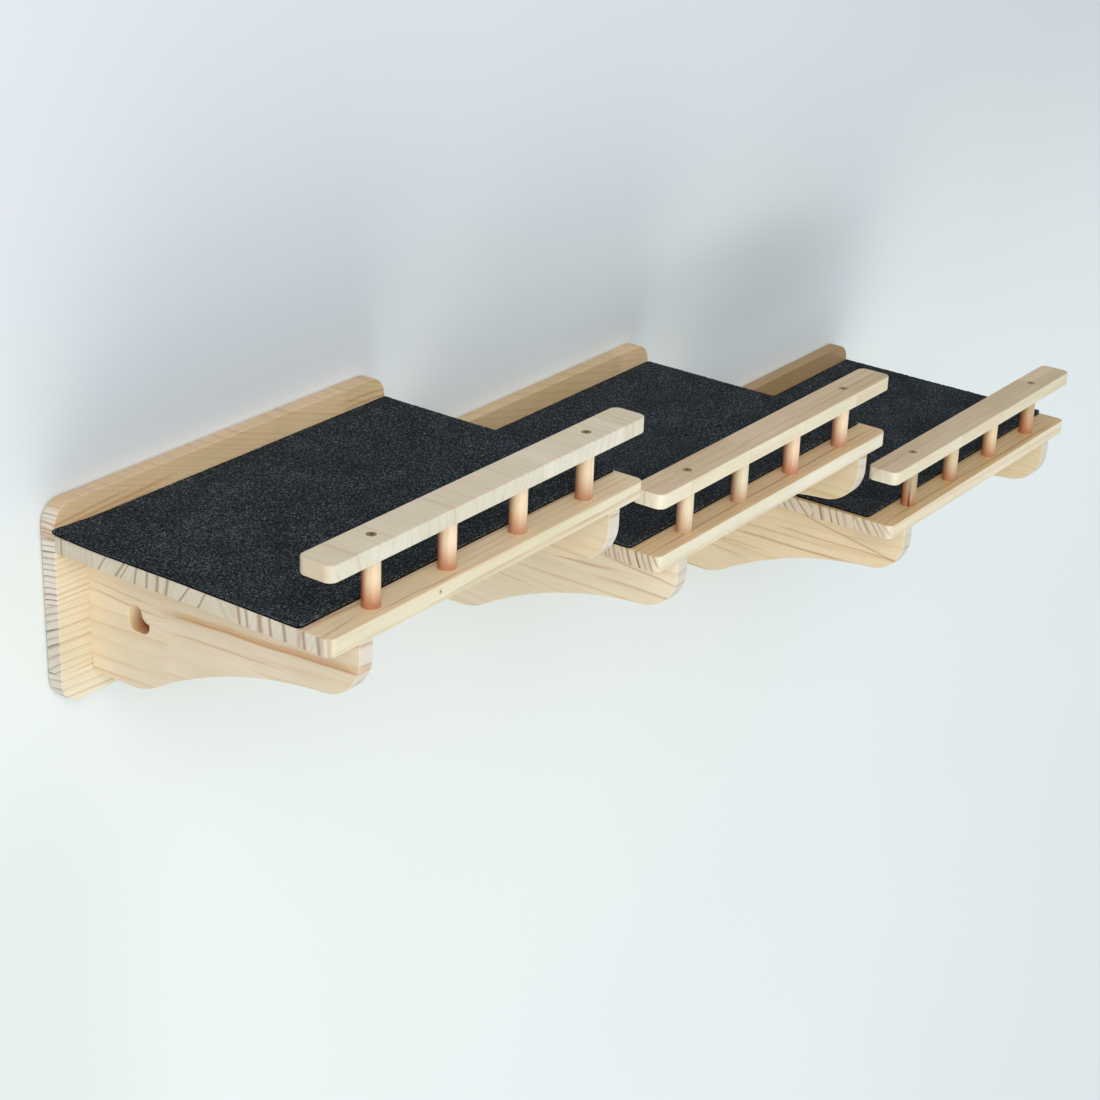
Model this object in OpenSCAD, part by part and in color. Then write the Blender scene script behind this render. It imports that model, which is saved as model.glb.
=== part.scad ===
// Wall steps for cats: a set of three like shelves that step down along a wall.
// Each shelf is a pine deck on two brackets, screwed to a back plate that hangs on the wall.
// A carpet covers the deck, and a low guard rail on four balusters runs along its front edge.
// The wall is the plane Y = 0, and the shelves stand out from it towards -Y.
// The origin lies on the wall, midway between the upper shelf's two wall screw holes.

/* [Arrangement] */
// Gap along the wall between the upper and the middle shelf
middle_gap = 27.5; // [5:0.5:200]
// Gap along the wall between the middle and the lower shelf
lower_gap = 30.5; // [5:0.5:200]
// Height that the middle shelf hangs below the upper one
middle_drop = 82.5; // [0:0.5:400]
// Height that the lower shelf hangs below the middle one
lower_drop = 114.5; // [0:0.5:400]

/* [Boards] */
// Width of each shelf along the wall
shelf_w = 400; // [370:1:600]
// Depth of each shelf, from the wall to the deck's front edge
shelf_d = 300; // [270:1:380]
// Thickness of the back plate
plate_t = 15; // [12:0.5:20]
// Height of the back plate above the deck's top
plate_rise = 24; // [15:1:60]
// Reach of the back plate below the deck's top
plate_fall = 151; // [142:1:200]
// Radius of the back plate's corners
plate_corner_r = 20; // [2:1:30]
// Thickness of the deck
deck_t = 15; // [13:0.5:20]
// Radius of the deck's front corners
deck_corner_r = 8; // [1:1:20]

/* [Brackets] */
// Thickness of each bracket
bracket_t = 15; // [12:0.5:18]
// Distance from the shelf's end to the bracket's outer face
bracket_inset = 34; // [15:1:38]
// Distance from the deck's front edge back to the bracket's nose
nose_setback = 1; // [0:1:20]
// Reach of the bracket's heel below the deck's top
heel_fall = 131; // [122:1:138]
// Distance from the wall to the end of the heel's straight underside
heel_l = 58; // [45:1:70]
// Radius of the bend from the heel into the arch
heel_r = 55; // [40:1:65]
// Radius of the ease where the heel meets the back plate
heel_ease_r = 4; // [1:1:10]
// Radius of the arch under the bracket
arch_r = 400; // [250:1:600]
// Reach of the bracket's nose below the deck's top
nose_fall = 67.5; // [60:0.5:75]
// Radius of the nose
nose_r = 38; // [28:1:42]
// Distance from the wall to the centre of the cut-out's corner lobe
cutout_out = 66; // [60:1:75]
// Depth of that centre below the deck's top
cutout_fall = 71.5; // [68:0.5:80]
// Radius of the cut-out's three lobes
cutout_r = 7.5; // [4:0.5:9]
// Distance from the corner lobe's centre to each of the other two
cutout_step = 7.5; // [5:0.5:9]

/* [Guard rail] */
// Width of the hand rail, front to back
rail_w = 34; // [24:1:44]
// Thickness of the hand rail
rail_t = 14; // [12:0.5:20]
// Free height between the deck and the hand rail
rail_gap = 44; // [40:1:90]
// Distance from the shelf's end to the hand rail's end
rail_inset = 1; // [0:1:20]
// Radius of the hand rail's corners
rail_corner_r = 8; // [2:1:12]
// Diameter of the balusters
baluster_d = 15; // [12:0.5:20]
// Distance from the shelf's end to the outer balusters' centres
baluster_inset = 65; // [64:1:80]
// Depth of the sockets that hold the balusters
socket_depth = 5; // [3:0.5:7]
// Clearance round a baluster in its socket
socket_clear = 0.1; // [0:0.05:0.3]

/* [Carpet] */
// Thickness of the carpet
carpet_t = 4; // [2:0.5:8]
// Gap between the balusters and the carpet's front edge
carpet_gap = 5.5; // [1:0.5:40]
// Radius of the carpet's front corners
carpet_corner_r = 5; // [1:1:30]
// Length that the lower shelf's carpet stops short of the deck's left end
lower_carpet_trim = 5; // [0:1:20]

/* [Screws] */
// Diameter of the wood screws
screw_d = 4; // [3:0.1:4.5]
// Diameter of their countersunk heads
screw_head_d = 8; // [6.5:0.1:9]
// Length of the screws through the hand rail into the outer balusters
rail_screw_l = 35; // [25:1:38]
// Length of the screws through the deck into the balusters
base_screw_l = 30; // [25:1:34]
// Length of the screws through the deck into the brackets
seat_screw_l = 40; // [30:1:45]
// Length of the screws through the back plate
plate_screw_l = 45; // [35:1:50]
// Distance from the wall to the rear seat screws
seat_screw_out = 100; // [90:1:120]
// Distance from the deck's front edge to the front seat screws
seat_screw_back = 70; // [60:1:80]
// Depth of the upper bracket screws below the deck's top
upper_screw_fall = 40; // [36:1:45]
// Depth of the lower bracket screws below the deck's top
lower_screw_fall = 105; // [95:1:110]
// Distance between neighbouring deck screws
deck_screw_pitch = 100; // [60:1:120]
// Clearance round each screw
screw_clear = 0.1; // [0.05:0.05:0.2]
// Length of the cross recess in each screw head
recess_l = 4.6; // [3:0.1:5]
// Width of the cross recess
recess_w = 1.4; // [0.6:0.1:1.5]
// Depth of the cross recess
recess_depth = 1.6; // [0.8:0.1:1.9]

/* [Wall holes] */
// Diameter of the holes for the wall screws
wall_hole_d = 5.5; // [4:0.1:7]
// Diameter of their countersinks
wall_sink_d = 11; // [8:0.1:14]
// Distance between a shelf's two wall holes
wall_hole_span = 240; // [120:1:250]
// Depth of the wall holes below the deck's top
wall_hole_fall = 45; // [30:1:100]

/* [Hidden] */
$fn = 64;
// Length by which cuts run past a surface
past = 1;
tip_l = 4;
tip_r = 0.6;

SHELVES = ["upper", "middle", "lower"];
PIECES = ["back_plate", "deck", "carpet", "left_bracket", "right_bracket", "hand_rail",
    "baluster_1", "baluster_2", "baluster_3", "baluster_4", "rail_screws",
    "baluster_screws", "deck_screws", "bracket_screws", "seat_screws"];

middle_x = shelf_w + middle_gap;
lower_x = middle_x + shelf_w + lower_gap;
shelf_x = [0, middle_x, lower_x];
shelf_z = [wall_hole_fall, wall_hole_fall - middle_drop, wall_hole_fall - middle_drop - lower_drop];
carpet_trim = [0, 0, lower_carpet_trim];

balusters = 4;
baluster_pitch = (shelf_w - 2 * baluster_inset) / (balusters - 1);
baluster_l = rail_gap + 2 * socket_depth;
rail_y = -shelf_d + rail_w / 2;
rail_top = rail_gap + rail_t;
bracket_x = shelf_w / 2 - bracket_inset - bracket_t / 2;
nose_y = -shelf_d + nose_setback;
carpet_d = shelf_d - plate_t - rail_w / 2 - baluster_d / 2 - carpet_gap;

// Centres of the heel's and the nose's bends, in the bracket's Y-Z plane
heel_c = [-heel_l, heel_r - heel_fall];
nose_c = [nose_y + nose_r, nose_r - nose_fall];
// Centre of the arch, which touches both bends
arch_c = below_both(heel_c, heel_r + arch_r, nose_c, nose_r + arch_r);

// The lower of the two points at the distance ra from a and rb from b
function below_both(a, ra, b, rb) =
    let (d = norm(b - a), u = (b - a) / d, m = (ra * ra - rb * rb + d * d) / (2 * d))
    a + m * u + sqrt(ra * ra - m * m) * [-u[1], u[0]];

function toward(from, to, l) = from + l * (to - from) / norm(to - from);

function baluster_x(i) = -shelf_w / 2 + baluster_inset + i * baluster_pitch;

// A board's outline with four round corners, from the corner low to the corner high
module round_board(low, high, r) {
    size = high - low;
    translate(low + [r, 0]) square(size - [2 * r, 0]);
    translate(low + [0, r]) square(size - [0, 2 * r]);
    for (x = [low[0] + r, high[0] - r], y = [low[1] + r, high[1] - r])
        translate([x, y]) circle(r);
}

// An outline that is square along its back edge and has round front corners
module front_rounded(left, right, depth, r) {
    translate([left, r - depth]) square([right - left, depth - r]);
    translate([left + r, -depth]) square([right - left - 2 * r, depth / 2]);
    for (x = [left + r, right - r])
        translate([x, r - depth]) circle(r);
}

// Turns a Y-Z outline into a board of thickness t, centred on X = 0
module upright(t) {
    translate([-t / 2, 0, 0]) rotate([90, 0, 90]) linear_extrude(t) children();
}

// A countersunk screw that points down from the middle of its head. It grows by grow all round.
module screw_form(l, d, head_d, grow = 0) {
    head_h = (head_d - d) / 2;
    translate([0, 0, -head_h]) cylinder(r1 = d / 2 + grow, r2 = head_d / 2 + grow, h = head_h);
    translate([0, 0, -l + tip_l]) cylinder(r = d / 2 + grow, h = l - tip_l - head_h / 2);
    translate([0, 0, -l]) cylinder(r1 = tip_r + grow, r2 = d / 2 + grow, h = tip_l);
}

module wood_screw(l) {
    difference() {
        screw_form(l, screw_d, screw_head_d);
        for (turn = [0, 90])
            rotate([0, 0, turn]) translate([-recess_l / 2, -recess_w / 2, -recess_depth])
                cube([recess_l, recess_w, recess_depth + past]);
    }
}

// The hole for a wood screw, open above the head and a little longer than the screw
module wood_screw_hole(l) {
    screw_form(l + past, screw_d, screw_head_d, screw_clear);
    cylinder(r = screw_head_d / 2 + screw_clear, h = past);
}

module at_balusters(which = [0:balusters - 1]) {
    for (i = which) translate([baluster_x(i), rail_y, 0]) children();
}

module at_rail_screws() {
    at_balusters([0, balusters - 1]) translate([0, 0, rail_top]) children();
}

module at_base_screws(which = [0:balusters - 1]) {
    at_balusters(which) translate([0, 0, -deck_t]) rotate([180, 0, 0]) children();
}

module at_seat_screws(sides = [-1, 1]) {
    for (side = sides, y = [-seat_screw_out, seat_screw_back - shelf_d])
        translate([side * bracket_x, y, 0]) children();
}

module at_deck_screws() {
    for (i = [-1, 0, 1])
        translate([i * deck_screw_pitch, 0, -deck_t / 2]) rotate([-90, 0, 0]) children();
}

module at_bracket_screws(sides = [-1, 1]) {
    for (side = sides, fall = [upper_screw_fall, lower_screw_fall])
        translate([side * bracket_x, 0, -fall]) rotate([-90, 0, 0]) children();
}

module wall_holes() {
    sink_h = (wall_sink_d - wall_hole_d) / 2;
    for (side = [-1, 1])
        translate([side * wall_hole_span / 2, -plate_t, -wall_hole_fall]) rotate([-90, 0, 0]) {
            translate([0, 0, -past]) cylinder(d = wall_hole_d, h = plate_t + 2 * past);
            cylinder(d1 = wall_sink_d, d2 = wall_hole_d, h = sink_h);
            translate([0, 0, -past]) cylinder(d = wall_sink_d, h = past);
        }
}

module back_plate() {
    color("#ead9ad") difference() {
        rotate([90, 0, 0]) linear_extrude(plate_t)
            round_board([-shelf_w / 2, -plate_fall], [shelf_w / 2, plate_rise], plate_corner_r);
        at_deck_screws() wood_screw_hole(plate_screw_l);
        at_bracket_screws() wood_screw_hole(plate_screw_l);
        wall_holes();
    }
}

module deck() {
    color("#dcc6a0") difference() {
        translate([0, -plate_t, -deck_t]) linear_extrude(deck_t)
            front_rounded(-shelf_w / 2, shelf_w / 2, shelf_d - plate_t, deck_corner_r);
        at_balusters() translate([0, 0, -socket_depth])
            cylinder(r = baluster_d / 2 + socket_clear, h = socket_depth + past);
        at_base_screws() wood_screw_hole(base_screw_l);
        at_seat_screws() wood_screw_hole(seat_screw_l);
        at_deck_screws() wood_screw_hole(plate_screw_l);
    }
}

module carpet(trim) {
    color("#2c3036") translate([0, -plate_t, 0]) linear_extrude(carpet_t)
        front_rounded(trim - shelf_w / 2, shelf_w / 2, carpet_d, carpet_corner_r);
}

// The box that a bracket is cut from, with an ease where its heel meets the back plate
module bracket_blank() {
    translate([nose_y, -heel_fall]) square([-nose_y - plate_t - heel_ease_r, heel_fall - deck_t]);
    translate([nose_y, heel_ease_r - heel_fall])
        square([-nose_y - plate_t, heel_fall - heel_ease_r - deck_t]);
    translate([-plate_t - heel_ease_r, heel_ease_r - heel_fall]) circle(heel_ease_r);
}

// Side view of a bracket: straight heel, arch and round nose
module bracket_outline() {
    intersection() {
        bracket_blank();
        difference() {
            union() {
                translate(heel_c) circle(heel_r);
                translate(nose_c) circle(nose_r);
                polygon([[0, 0], [0, -heel_fall], [-heel_l, -heel_fall], heel_c,
                    toward(heel_c, arch_c, heel_r + past), toward(nose_c, arch_c, nose_r + past),
                    nose_c, [nose_y, nose_c[1]], [nose_y, 0]]);
            }
            translate(arch_c) circle(arch_r);
        }
    }
}

// Three lobes in a corner, like a small heart lying on its side
module cutout_outline() {
    translate([-cutout_out, -cutout_fall]) {
        circle(cutout_r);
        translate([0, cutout_step]) circle(cutout_r);
        translate([-cutout_step, 0]) circle(cutout_r);
        translate([-cutout_r, 0]) square([2 * cutout_r, cutout_step]);
        translate([-cutout_step, -cutout_r]) square([cutout_step, 2 * cutout_r]);
    }
}

module bracket(side) {
    color("#e0cba2") difference() {
        translate([side * bracket_x, 0, 0]) upright(bracket_t) bracket_outline();
        translate([side * bracket_x, 0, 0]) upright(bracket_t + 2 * past) cutout_outline();
        at_seat_screws([side]) wood_screw_hole(seat_screw_l);
        at_bracket_screws([side]) wood_screw_hole(plate_screw_l);
    }
}

module hand_rail() {
    end_x = shelf_w / 2 - rail_inset;
    color("#e6dcc0") difference() {
        translate([0, 0, rail_gap]) linear_extrude(rail_t)
            round_board([-end_x, rail_y - rail_w / 2], [end_x, rail_y + rail_w / 2], rail_corner_r);
        at_balusters() translate([0, 0, rail_gap - past])
            cylinder(r = baluster_d / 2 + socket_clear, h = socket_depth + past);
        at_rail_screws() wood_screw_hole(rail_screw_l);
    }
}

module baluster(i) {
    color("#dfb88f") difference() {
        at_balusters([i]) translate([0, 0, -socket_depth]) cylinder(d = baluster_d, h = baluster_l);
        at_base_screws([i]) wood_screw_hole(base_screw_l);
        if (i == 0 || i == balusters - 1) at_rail_screws() wood_screw_hole(rail_screw_l);
    }
}

module rail_screws() {
    color("#8a6a35") at_rail_screws() wood_screw(rail_screw_l);
}

module baluster_screws() {
    color("silver") at_base_screws() wood_screw(base_screw_l);
}

module deck_screws() {
    color("silver") at_deck_screws() wood_screw(plate_screw_l);
}

module bracket_screws() {
    color("silver") at_bracket_screws() wood_screw(plate_screw_l);
}

module seat_screws() {
    color("silver") at_seat_screws() wood_screw(seat_screw_l);
}

for (n = [0:2]) translate([shelf_x[n], 0, shelf_z[n]]) {
    shelf = SHELVES[n];
    back_plate();
    deck();
    carpet(carpet_trim[n]);
    bracket(-1);
    bracket(1);
    hand_rail();
    baluster(0);
    baluster(1);
    baluster(2);
    baluster(3);
    rail_screws();
    baluster_screws();
    deck_screws();
    bracket_screws();
    seat_screws();
}
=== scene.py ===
"""Pine wall steps for cats: three carpeted decks with low guard rails, on a pale wall.

Everything is in metres in the part's own frame. The wall is the plane Y = 0 and the shelves
stand out from it towards -Y. Lengths that are read from the real thing are written in
millimetres and turned into metres by MM.
"""
import math

import bmesh
import bpy
from mathutils import Matrix, Vector, noise


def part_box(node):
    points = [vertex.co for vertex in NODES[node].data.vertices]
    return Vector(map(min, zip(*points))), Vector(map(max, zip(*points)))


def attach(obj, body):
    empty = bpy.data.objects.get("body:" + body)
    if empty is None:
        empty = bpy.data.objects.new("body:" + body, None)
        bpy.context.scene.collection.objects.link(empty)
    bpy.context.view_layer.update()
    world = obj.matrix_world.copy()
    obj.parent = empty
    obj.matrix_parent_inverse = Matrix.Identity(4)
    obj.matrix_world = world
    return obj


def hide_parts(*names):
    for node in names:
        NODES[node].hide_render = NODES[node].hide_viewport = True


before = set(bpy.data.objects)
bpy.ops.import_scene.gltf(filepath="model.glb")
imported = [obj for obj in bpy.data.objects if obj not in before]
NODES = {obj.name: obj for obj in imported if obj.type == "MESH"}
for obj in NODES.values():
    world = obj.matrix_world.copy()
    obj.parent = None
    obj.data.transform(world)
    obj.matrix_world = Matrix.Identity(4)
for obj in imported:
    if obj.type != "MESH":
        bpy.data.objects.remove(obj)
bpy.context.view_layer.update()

MM = 0.001
SHELVES = ("upper", "middle", "lower")


# Colours and nodes

def srgb(code):
    """Linear RGBA of an sRGB hex colour."""
    channels = [int(code[i:i + 2], 16) / 255 for i in (0, 2, 4)]
    return [c / 12.92 if c <= 0.04045 else ((c + 0.055) / 1.055) ** 2.4 for c in channels] + [1.0]


def add(tree, kind, inputs=(), **settings):
    """Adds a node with its settings, then its inputs as values or links, and gives its outputs."""
    made = tree.nodes.new(kind if kind.startswith("NodeGroup") else "ShaderNode" + kind)
    for name, value in settings.items():
        setattr(made, name, value)
    for key, value in inputs.items() if isinstance(inputs, dict) else enumerate(inputs):
        if isinstance(value, bpy.types.NodeSocket):
            tree.links.new(value, made.inputs[key])
        elif value is not None:
            made.inputs[key].default_value = value
    return made.outputs


def new_material(name):
    """A material whose nodes are still to be added."""
    material = bpy.data.materials.new(name)
    material.use_nodes = True
    material.node_tree.nodes.clear()
    return material, material.node_tree


# Pine: the figure that the rings leave in a board

FIGURE_SIZES = {
    # Glued strips across the board, and finger-jointed lengths along it
    "Strip": 55.0, "Joint": 5000.0, "Joint At": 1000.0,
    # Rings: their spacing, how far the pith is, and how the rings lean against the board's width
    "Ring": 7.0, "Pith": 140.0, "Lean": 0.0, "Spread": 0.35,
    # How far a ring wanders, how much it drifts sideways along the grain, and the whole board's slant
    "Wave": 3.0, "Drift": 0.03, "Slant": 0.0,
    # How unlike the lines are, and how far they fade out where the saw ran along a ring
    "Uneven": 0.8, "Fade": 0.5,
    "Seed": 1.0,
}
# Finger joints: the fingers' pitch and length, and half the glue line's width
FINGER_PITCH = 5.0
FINGER_LENGTH = 9.0
GLUE_HALF_WIDTH = 0.7
# The size of the bends, of the faded places and of the patches, and how slowly each changes
# along the grain
BEND_SIZE, BEND_ALONG = 45.0, 0.2
FADE_SIZE, FADE_ALONG = 22.0, 0.25
PATCH_SIZE, PATCH_ALONG = 26.0, 0.3
# Fibres to a millimetre, and how many times longer than wide they are
GRAIN_FINENESS, GRAIN_LENGTH = 1.1, 40.0
# A lot's ring spacing against the board's: the least, and what is added at most
RING_LEAST, RING_MORE = 0.72, 0.55
# How soon good years follow bad ones, and how far they shift the rings
GROWTH_PACE, GROWTH_SWING = 0.45, 1.7
# Where in a year the latewood starts, is full and begins to end, and how slowly it darkens
LATE_START, LATE_FULL, LATE_END, LATE_CURVE = 0.4, 0.93, 0.94, 2.2


def ring_figure():
    """Node group: the latewood, the lot and the fibres at a place in a board.

    Place is in millimetres: along the grain, across the board and through its thickness. Each
    glued strip and each finger-jointed length is cut from another tree, so it has a pith, a lean
    and a ring spacing of its own. Latewood darkens slowly and ends sharply, as each year does.
    """
    tree = bpy.data.node_groups.new("ring_figure", "ShaderNodeTree")
    tree.interface.new_socket(name="Place", in_out="INPUT", socket_type="NodeSocketVector")
    for name in FIGURE_SIZES:
        tree.interface.new_socket(name=name, in_out="INPUT", socket_type="NodeSocketFloat")
    for name in ("Latewood", "Tint", "Fibre", "Patch", "Glue"):
        tree.interface.new_socket(name=name, in_out="OUTPUT", socket_type="NodeSocketFloat")
    given = add(tree, "NodeGroupInput")
    along, across, deep = add(tree, "SeparateXYZ", [given["Place"]])

    # The strip and the finger-jointed length that the place lies in
    strip = add(tree, "Math", [add(tree, "Math", [across, given["Strip"]], operation="DIVIDE")[0]],
                operation="FLOOR")[0]
    centre_line = add(tree, "Math", [add(tree, "Math", [strip, 0.5], operation="ADD")[0],
                                     given["Strip"]], operation="MULTIPLY")[0]
    zigzag = add(tree, "Math", [add(tree, "Math", [across, FINGER_PITCH / 2], operation="PINGPONG")[0],
                                2 * FINGER_LENGTH / FINGER_PITCH], operation="MULTIPLY")[0]
    from_joint = add(tree, "Math", [add(tree, "Math", [along, zigzag], operation="ADD")[0],
                                    given["Joint At"]], operation="SUBTRACT")[0]
    length = add(tree, "Math", [add(tree, "Math", [from_joint, given["Joint"]], operation="DIVIDE")[0]],
                 operation="FLOOR")[0]
    half_joint = add(tree, "Math", [given["Joint"], 2.0], operation="DIVIDE")[0]
    past_joint = add(tree, "Math", [from_joint, half_joint], operation="PINGPONG")[0]
    glue = add(tree, "MapRange", [past_joint, GLUE_HALF_WIDTH, 0.0, 0.0, 1.0],
               interpolation_type="SMOOTHSTEP")[0]
    lot = add(tree, "TexWhiteNoise", [add(tree, "CombineXYZ", [strip, length, given["Seed"]])[0]])
    lot_lean, lot_pith, lot_drift = add(tree, "SeparateXYZ", [lot["Color"]])

    # Distance from the pith, with the slow bends of a grown stem
    bend_at = add(tree, "CombineXYZ", [add(tree, "Math", [along, BEND_ALONG], operation="MULTIPLY")[0],
                                       across, add(tree, "Math", [length, 90.0, deep],
                                                   operation="MULTIPLY_ADD")[0]])[0]
    bend = add(tree, "TexNoise", {"Vector": bend_at, "Scale": 1 / BEND_SIZE, "Detail": 2.0})[0]
    bend = add(tree, "Math", [add(tree, "Math", [bend, 0.5], operation="SUBTRACT")[0],
                              add(tree, "Math", [given["Wave"], 2.0], operation="MULTIPLY")[0]],
               operation="MULTIPLY")[0]
    drift = add(tree, "Math", [add(tree, "Math", [lot_drift, 0.5], operation="SUBTRACT")[0],
                               add(tree, "Math", [given["Drift"], 2.0], operation="MULTIPLY")[0]],
                operation="MULTIPLY")[0]
    drift = add(tree, "Math", [drift, given["Slant"]], operation="SUBTRACT")[0]
    aside = add(tree, "Math", [along, drift, bend], operation="MULTIPLY_ADD")[0]
    aside = add(tree, "Math", [add(tree, "Math", [across, centre_line], operation="SUBTRACT")[0], aside],
                operation="ADD")[0]
    lean = add(tree, "Math", [add(tree, "Math", [lot_lean, 0.5], operation="SUBTRACT")[0],
                              add(tree, "Math", [given["Spread"], 2.0], operation="MULTIPLY")[0],
                              given["Lean"]], operation="MULTIPLY_ADD")[0]
    pith = add(tree, "Math", [add(tree, "Math", [lot_pith, 0.5], operation="ADD")[0], given["Pith"]],
               operation="MULTIPLY")[0]
    across_pith = add(tree, "Math", [add(tree, "Math", [lean], operation="COSINE")[0], pith, aside],
                      operation="MULTIPLY_ADD")[0]
    deep_pith = add(tree, "Math", [add(tree, "Math", [lean], operation="SINE")[0], pith, deep],
                    operation="MULTIPLY_ADD")[0]
    radius = add(tree, "VectorMath", [add(tree, "CombineXYZ", [across_pith, deep_pith, 0.0])[0]],
                 operation="LENGTH")["Value"]

    # Years of uneven growth
    ring = add(tree, "Math", [lot_drift, RING_MORE, RING_LEAST], operation="MULTIPLY_ADD")[0]
    ring = add(tree, "Math", [ring, given["Ring"]], operation="MULTIPLY")[0]
    even = add(tree, "Math", [radius, ring], operation="DIVIDE")[0]
    growth_at = add(tree, "CombineXYZ", [add(tree, "Math", [even, GROWTH_PACE], operation="MULTIPLY")[0],
                                         given["Seed"], strip])[0]
    growth = add(tree, "TexNoise", {"Vector": growth_at, "Scale": 1.0, "Detail": 1.0})[0]
    years = add(tree, "Math", [growth, GROWTH_SWING, even], operation="MULTIPLY_ADD")[0]
    season = add(tree, "Math", [years], operation="FRACT")[0]
    rise = add(tree, "MapRange", [season, LATE_START, LATE_FULL, 0.0, 1.0],
               interpolation_type="SMOOTHSTEP")[0]
    rise = add(tree, "Math", [rise, LATE_CURVE], operation="POWER")[0]
    stop = add(tree, "MapRange", [season, 1.0, LATE_END, 0.0, 1.0], interpolation_type="SMOOTHSTEP")[0]
    year = add(tree, "CombineXYZ", [add(tree, "Math", [years], operation="FLOOR")[0], strip, length])[0]
    year = add(tree, "Math", [add(tree, "TexWhiteNoise", [year])[0], 1.3], operation="POWER")[0]
    year = add(tree, "Math", [add(tree, "Math", [1.0, year], operation="SUBTRACT")[0], given["Uneven"]],
               operation="MULTIPLY")[0]
    year = add(tree, "Math", [1.0, year], operation="SUBTRACT")[0]
    fade_at = add(tree, "CombineXYZ", [add(tree, "Math", [along, FADE_ALONG], operation="MULTIPLY")[0],
                                       across, add(tree, "Math", [strip, 50.0, deep],
                                                   operation="MULTIPLY_ADD")[0]])[0]
    fade = add(tree, "TexNoise", {"Vector": fade_at, "Scale": 1 / FADE_SIZE, "Detail": 0.0})[0]
    fade = add(tree, "MapRange", [fade, 0.35, 0.58, 1.0, 0.0], interpolation_type="SMOOTHSTEP")[0]
    fade = add(tree, "Math", [fade, given["Fade"]], operation="MULTIPLY")[0]
    shown = add(tree, "Math", [1.0, fade], operation="SUBTRACT")[0]
    latewood = add(tree, "Math", [add(tree, "Math", [rise, stop], operation="MULTIPLY")[0], year],
                   operation="MULTIPLY")[0]
    latewood = add(tree, "Math", [latewood, shown], operation="MULTIPLY")[0]

    # Fibres run with the grain, and broad patches lie between them
    slow = add(tree, "Math", [along, 1 / GRAIN_LENGTH], operation="MULTIPLY")[0]
    fibre_at = add(tree, "CombineXYZ", [slow, across, deep])[0]
    fibre = add(tree, "TexNoise", {"Vector": fibre_at, "Scale": GRAIN_FINENESS, "Detail": 3.0})[0]
    patch_at = add(tree, "CombineXYZ", [add(tree, "Math", [along, PATCH_ALONG], operation="MULTIPLY")[0],
                                        across, add(tree, "Math", [given["Seed"], 31.0, deep],
                                                    operation="MULTIPLY_ADD")[0]])[0]
    patch = add(tree, "TexNoise", {"Vector": patch_at, "Scale": 1 / PATCH_SIZE, "Detail": 2.0})[0]
    add(tree, "NodeGroupOutput", [latewood, lot_pith, fibre, patch, glue])
    return tree


RING_FIGURE = ring_figure()

# How a planed board looks: earlywood and latewood on its faces, then on its end grain, and how
# strongly each shows. Broad and narrow are painted light and shade that tint the board's faces and
# its long edges, and tint is how unlike its lots are. Foot and back are how much painted shade,
# brown as warm bounce light, lies on a dowel's foot and on its side towards the wall.
PINE_LOOK = {
    "early": "EDDDBB", "late": "CC9F63", "line": 0.55,
    "end_early": "E6DCC6", "end_late": "A07A58", "end_line": 0.8,
    "broad": "FFFFFF", "narrow": "FFFFFF", "tint": 0.10,
    "roughness": 0.5, "coat": 0.0, "foot": 0.0, "back": 0.0,
}
GLUE_LINE, GLUE_STRENGTH = "A57F54", 0.3
# Painted shade, brown as warm bounce light, on a dowel's foot between these heights from its
# middle, and on its side towards the wall
FOOT_SHADE, FOOT_TOP, FOOT_LOW = "C06A3C", 4.0, -22.0
BACK_SHADE = "B9652F"
# Strong rings across the end grain, and how far they wander
END_RING, END_RING_STRENGTH, END_RING_WANDER = "94603E", 0.65, 0.9
# Painted light and shade on the wall of a cut-out, pale where lit above and dark brown where shaded
# below, and the depth of that change
CUT_LIT, CUT_SHADED, CUT_DEPTH = "F6DDB0", "8A3E10", 9.0
KNOT_HEART, KNOT_HALO = "6E4A2E", "C79A62"
# How far a streak wanders, and the length over which its ends fade
STREAK_WANDER = 5.0
STREAK_FADE = 30.0


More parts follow.
